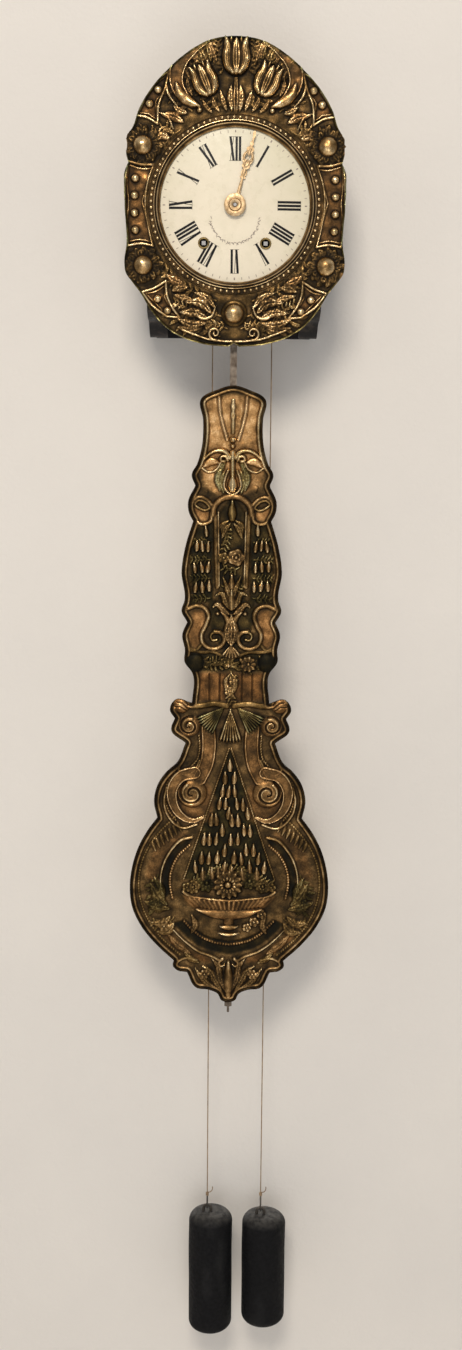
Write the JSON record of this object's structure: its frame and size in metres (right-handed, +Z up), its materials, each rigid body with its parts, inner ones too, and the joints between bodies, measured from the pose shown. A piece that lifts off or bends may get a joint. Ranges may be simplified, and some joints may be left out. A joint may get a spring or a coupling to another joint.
{
  "type": "weight-driven wall clock",
  "caption": "Wall clock with an iron cage movement, enamel dial in a stamped brass fronton, long embossed pendulum and cord-hung cast-iron weights.",
  "frame": {"origin": "middle of the bracket's back board, on the face that meets the wall", "axes": "+Z up, +Y into the wall, +X to the right of someone who faces the dial"},
  "size_m": [0.3376, 0.1986, 2.187],
  "materials": {
    "black_wood": "black paint, worn",
    "cage_iron": "dark forged iron",
    "rod_iron": "brown oxidised iron",
    "steel": "filed steel",
    "wheel_brass": "turned brass",
    "gilt_brass": "aged gilt, dark in the recesses",
    "bright_gilt": "bright gilt, worn",
    "bell_bronze": "dull bronze",
    "bob_iron": "rough casting",
    "black_iron": "matte black, dusty at the top",
    "enamel": "glossy cream enamel",
    "twine": "twisted tan twine"
  },
  "bodies": {
    "case": {"bracket_back_board": "black_wood", "bracket_arm_left": "black_wood", "bracket_arm_right": "black_wood", "bracket_screw_left": "steel", "bracket_screw_right": "steel", "cage_frame": "cage_iron", "cage_top_plate": "cage_iron", "cage_back_sheet": "cage_iron", "going_front_bar": "cage_iron", "going_back_bar": "cage_iron", "strike_front_bar": "cage_iron", "strike_back_bar": "cage_iron", "bell": "bell_bronze", "bell_stand": "steel", "bell_nut": "steel", "dial": "enamel", "eyelet_left": "wheel_brass", "eyelet_right": "wheel_brass", "bezel": "gilt_brass", "fronton": "gilt_brass", "suspension_cock": "steel", "going_cord": "twine", "strike_cord": "twine"},
    "door_left": {"side_door_left": "cage_iron"},
    "door_right": {"side_door_right": "cage_iron"},
    "hook_left": {"door_hook_left": "steel"},
    "hook_right": {"door_hook_right": "steel"},
    "going_barrel": {"going_drum": "steel", "going_cord_wound": "twine"},
    "going_great": {"going_great_wheel": "wheel_brass"},
    "going_pawl": {"going_click": "steel"},
    "second_arbor": {"second_wheel": "wheel_brass"},
    "third_arbor": {"third_wheel": "wheel_brass"},
    "escape_arbor": {"escape_wheel": "wheel_brass"},
    "verge": {"anchor": "steel", "crutch": "steel"},
    "strike_barrel": {"strike_drum": "steel", "strike_cord_wound": "twine"},
    "strike_great": {"strike_great_wheel": "wheel_brass"},
    "strike_pawl": {"strike_click": "steel"},
    "pin_arbor": {"pin_wheel": "wheel_brass"},
    "warning_arbor": {"warning_wheel": "wheel_brass"},
    "fly_arbor": {"fly": "wheel_brass"},
    "hammer_arbor": {"hammer": "steel"},
    "minute_train": {"minute_arbor": "steel", "minute_hand": "bright_gilt", "hand_collar": "bright_gilt"},
    "motion_train": {"motion_wheel": "wheel_brass"},
    "hour_train": {"hour_wheel": "wheel_brass", "hour_hand": "bright_gilt"},
    "pendulum": {"suspension_spring": "steel", "pendulum_rod": "rod_iron", "pendulum_plate": "gilt_brass", "pendulum_frame": "cage_iron", "pendulum_bob": "bob_iron"},
    "nut": {"rating_nut": "rod_iron"},
    "going_load": {"going_hook": "cage_iron", "going_weight": "black_iron"},
    "strike_load": {"strike_hook": "cage_iron", "strike_weight": "black_iron"}
  },
  "joints": [
    {"name": "pendulum_swing", "type": "hinge", "parent": "case", "child": "pendulum", "pos_m": [0, -0.1625, 0.266], "axis": [0, 1, 0], "range_deg": [-3, 3]},
    {"name": "verge_swing", "type": "hinge", "parent": "case", "child": "verge", "pos_m": [0, -0.09, 0.266], "axis": [0, 1, 0], "range_deg": [-3, 3]},
    {"name": "nut_turn", "type": "hinge", "parent": "pendulum", "child": "nut", "pos_m": [0, -0.1625, -1.13], "axis": [0, 0, 1], "continuous": true},
    {"name": "third_turn", "type": "hinge", "parent": "case", "child": "third_arbor", "pos_m": [0.01869, -0.1075, 0.19363], "axis": [0, 1, 0], "continuous": true},
    {"name": "second_turn", "type": "hinge", "parent": "case", "child": "second_arbor", "pos_m": [0.02613, -0.1325, 0.15382], "axis": [0, 1, 0], "continuous": true},
    {"name": "going_great_turn", "type": "hinge", "parent": "case", "child": "going_great", "pos_m": [0.0475, -0.1245, 0.11], "axis": [0, 1, 0], "continuous": true},
    {"name": "escape_turn", "type": "hinge", "parent": "case", "child": "escape_arbor", "pos_m": [0, -0.0895, 0.227], "axis": [0, 1, 0], "continuous": true},
    {"name": "minute_turn", "type": "hinge", "parent": "case", "child": "minute_train", "pos_m": [0, -0.147, 0.166], "axis": [0, 1, 0], "continuous": true},
    {"name": "motion_turn", "type": "hinge", "parent": "case", "child": "motion_train", "pos_m": [-0.02349, -0.15, 0.17455], "axis": [0, 1, 0], "continuous": true},
    {"name": "hour_turn", "type": "hinge", "parent": "case", "child": "hour_train", "pos_m": [0, -0.154, 0.166], "axis": [0, 1, 0], "continuous": true},
    {"name": "warning_turn", "type": "hinge", "parent": "case", "child": "warning_arbor", "pos_m": [-0.06202, -0.1075, 0.19342], "axis": [0, 1, 0], "continuous": true},
    {"name": "pin_turn", "type": "hinge", "parent": "case", "child": "pin_arbor", "pos_m": [-0.05764, -0.1325, 0.15768], "axis": [0, 1, 0], "continuous": true},
    {"name": "strike_great_turn", "type": "hinge", "parent": "case", "child": "strike_great", "pos_m": [-0.0475, -0.1245, 0.11], "axis": [0, 1, 0], "continuous": true},
    {"name": "fly_turn", "type": "hinge", "parent": "case", "child": "fly_arbor", "pos_m": [-0.05818, -0.084, 0.22468], "axis": [0, 1, 0], "continuous": true},
    {"name": "going_click_lift", "type": "hinge", "parent": "going_great", "child": "going_pawl", "pos_m": [0.0765, -0.121, 0.11], "axis": [0, 1, 0], "range_deg": [0, 12]},
    {"name": "strike_click_lift", "type": "hinge", "parent": "strike_great", "child": "strike_pawl", "pos_m": [-0.0185, -0.121, 0.11], "axis": [0, 1, 0], "range_deg": [0, 12]},
    {"name": "going_weight_wind", "type": "slide", "parent": "case", "child": "going_load", "axis": [0, 0, 1], "range_m": [0, 1.4], "deforming": ["going_cord"]},
    {"name": "strike_weight_wind", "type": "slide", "parent": "case", "child": "strike_load", "axis": [0, 0, 1], "range_m": [0, 1.4], "deforming": ["strike_cord"]},
    {"name": "going_drum_turn", "type": "hinge", "parent": "case", "child": "going_barrel", "pos_m": [0.0475, -0.086, 0.11], "axis": [0, 1, 0], "continuous": true},
    {"name": "strike_drum_turn", "type": "hinge", "parent": "case", "child": "strike_barrel", "pos_m": [-0.0475, -0.086, 0.11], "axis": [0, 1, 0], "continuous": true},
    {"name": "hammer_lift", "type": "hinge", "parent": "case", "child": "hammer_arbor", "pos_m": [-0.104, -0.06, 0.166], "axis": [0, 0, -1], "range_deg": [0, 12]},
    {"name": "door_left_open", "type": "hinge", "parent": "case", "child": "door_left", "pos_m": [-0.1208, -0.03, 0.162], "axis": [0, 0, -1], "range_deg": [0, 95]},
    {"name": "door_right_open", "type": "hinge", "parent": "case", "child": "door_right", "pos_m": [0.1208, -0.03, 0.162], "axis": [0, 0, 1], "range_deg": [0, 95]},
    {"name": "hook_left_lift", "type": "hinge", "parent": "door_left", "child": "hook_left", "pos_m": [-0.1221, -0.123, 0.188], "axis": [-1, 0, 0], "range_deg": [0, 80]},
    {"name": "hook_right_lift", "type": "hinge", "parent": "door_right", "child": "hook_right", "pos_m": [0.1221, -0.123, 0.188], "axis": [-1, 0, 0], "range_deg": [0, 80]}
  ],
  "couplings": [
    {"joint": "verge_swing", "follows": "pendulum_swing", "ratio": 1},
    {"joint": "second_turn", "follows": "third_turn", "ratio": -0.125},
    {"joint": "going_great_turn", "follows": "third_turn", "ratio": 0.010417},
    {"joint": "escape_turn", "follows": "third_turn", "ratio": -7.5},
    {"joint": "minute_turn", "follows": "third_turn", "ratio": 0.125},
    {"joint": "motion_turn", "follows": "third_turn", "ratio": -0.041667},
    {"joint": "hour_turn", "follows": "third_turn", "ratio": 0.010417},
    {"joint": "pin_turn", "follows": "warning_turn", "ratio": -0.14286},
    {"joint": "strike_great_turn", "follows": "warning_turn", "ratio": 0.011905},
    {"joint": "fly_turn", "follows": "warning_turn", "ratio": -6},
    {"joint": "going_drum_turn", "follows": "going_weight_wind", "rad_per_m": -71.429},
    {"joint": "strike_drum_turn", "follows": "strike_weight_wind", "rad_per_m": -71.429}
  ]
}
